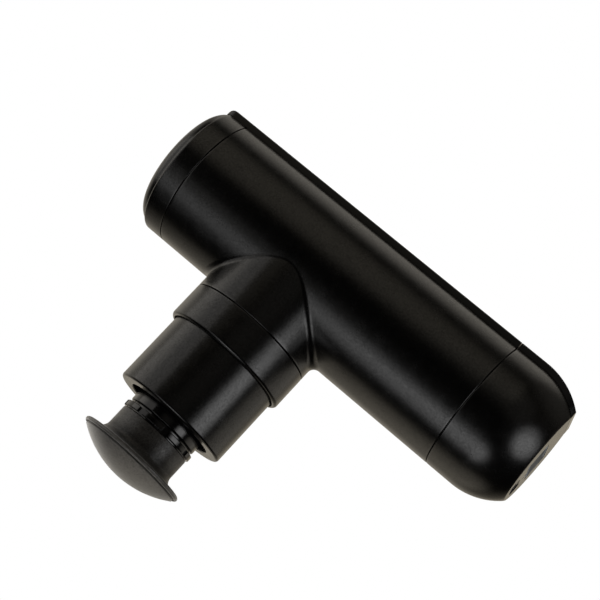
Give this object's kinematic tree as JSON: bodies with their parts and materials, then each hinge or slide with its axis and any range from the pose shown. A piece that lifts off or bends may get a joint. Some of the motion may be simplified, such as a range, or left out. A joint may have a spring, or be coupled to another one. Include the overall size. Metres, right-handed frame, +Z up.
{
  "type": "massage gun",
  "caption": "Handheld percussion massage gun with a tubular battery handle, a side neck, a sliding plunger and a pull-off mushroom massage head.",
  "frame": {"origin": "centre of the flat bottom face of the handle", "axes": "+Z up the handle, -X along the neck towards the massage head, +X out of the control strip"},
  "size_m": [0.1094, 0.046, 0.1465],
  "materials": {
    "shell_black": "satin",
    "gloss_black": "gloss",
    "head_rubber": "fine matt grain",
    "seal_rubber": "matt",
    "label_foil": "satin",
    "holder_plastic": "matt",
    "switch_white": "satin",
    "clear_lens": "clear gloss",
    "board_green": "solder mask",
    "chip_black": "matt",
    "cell_wrap": "shrink sleeve",
    "nickel": "brushed",
    "steel": "ground",
    "dark_steel": "blackened",
    "cast_alloy": "machined",
    "bronze": "sintered",
    "copper": "enamelled wire",
    "cable_red": "matt",
    "cable_orange": "matt"
  },
  "bodies": {
    "housing": {"main_housing": "shell_black", "bottom_cap": "shell_black", "top_cap_ring": "shell_black", "top_end_cover": "shell_black", "control_strip": "gloss_black", "lower_strip": "gloss_black", "neck_collar": "shell_black", "neck_sleeve": "shell_black", "dust_seal": "seal_rubber", "rating_plate": "label_foil", "switch_body": "chip_black", "button_board": "board_green", "status_leds": "switch_white", "led_light_guide": "clear_lens", "control_board": "board_green", "board_components": "chip_black", "battery_cell_1": "cell_wrap", "battery_cell_2": "cell_wrap", "battery_cell_3": "cell_wrap", "battery_holder_lower": "holder_plastic", "battery_holder_upper": "holder_plastic", "nickel_strips": "nickel", "charge_cable": "cable_red", "usb_board": "board_green", "usb_board_screws": "steel", "usb_receptacle": "steel", "usb_tongue": "chip_black", "charge_led_lens": "clear_lens", "motor_mount": "cast_alloy", "motor_screws": "steel", "motor_dampers": "seal_rubber", "motor_wires": "cable_orange", "stator_core": "dark_steel", "stator_windings": "copper", "bearing_outer_rings": "steel", "bearing_balls": "steel", "guide_tube": "cast_alloy", "guide_bushes": "bronze", "guide_screws": "steel"},
    "button": {"power_button": "gloss_black", "switch_stem": "switch_white"},
    "rotor": {"rotor_bell": "dark_steel", "rotor_magnets": "nickel", "motor_shaft": "steel", "shaft_circlip": "steel", "bearing_inner_rings": "steel", "crank_hub": "steel", "hub_set_screw": "dark_steel"},
    "plunger": {"plunger": "gloss_black", "wrist_pin": "steel"},
    "rod": {"connecting_rod": "cast_alloy", "rod_bearing_outer": "steel", "rod_bearing_balls": "steel", "small_end_bush": "bronze"},
    "crank_pin": {"crank_pin": "steel", "rod_bearing_inner": "steel"},
    "head_rings": {"head_o_rings": "seal_rubber"},
    "head": {"massage_head": "head_rubber", "head_adapter": "gloss_black"}
  },
  "joints": [
    {"name": "button_press", "type": "slide", "parent": "housing", "child": "button", "axis": [-1, 0, 0], "range_m": [0, 0.0004], "stiffness_N_per_m": 400},
    {"name": "rotor_spin", "type": "hinge", "parent": "housing", "child": "rotor", "pos_m": [0, 0, 0.12], "axis": [0, 0, 1], "continuous": true},
    {"name": "plunger_slide", "type": "slide", "parent": "housing", "child": "plunger", "axis": [-1, 0, 0], "range_m": [0, 0.008]},
    {"name": "rod_swing", "type": "hinge", "parent": "plunger", "child": "rod", "pos_m": [-0.03, 0, 0.0926], "axis": [0, 0, 1], "range_deg": [-6.75, 6.75]},
    {"name": "crank_pin_spin", "type": "hinge", "parent": "rod", "child": "crank_pin", "pos_m": [0.004, 0, 0.0926], "axis": [0, 0, 1], "continuous": true},
    {"name": "head_pull", "type": "slide", "parent": "plunger", "child": "head_rings", "axis": [-1, 0, 0], "range_m": [0, 0.025]},
    {"name": "head_swivel", "type": "hinge", "parent": "head_rings", "child": "head", "pos_m": [-0.075, 0, 0.0926], "axis": [1, 0, 0], "continuous": true}
  ],
  "couplings": [
    {"joint": "crank_pin_spin", "follows": "rotor_spin", "ratio": 1}
  ]
}
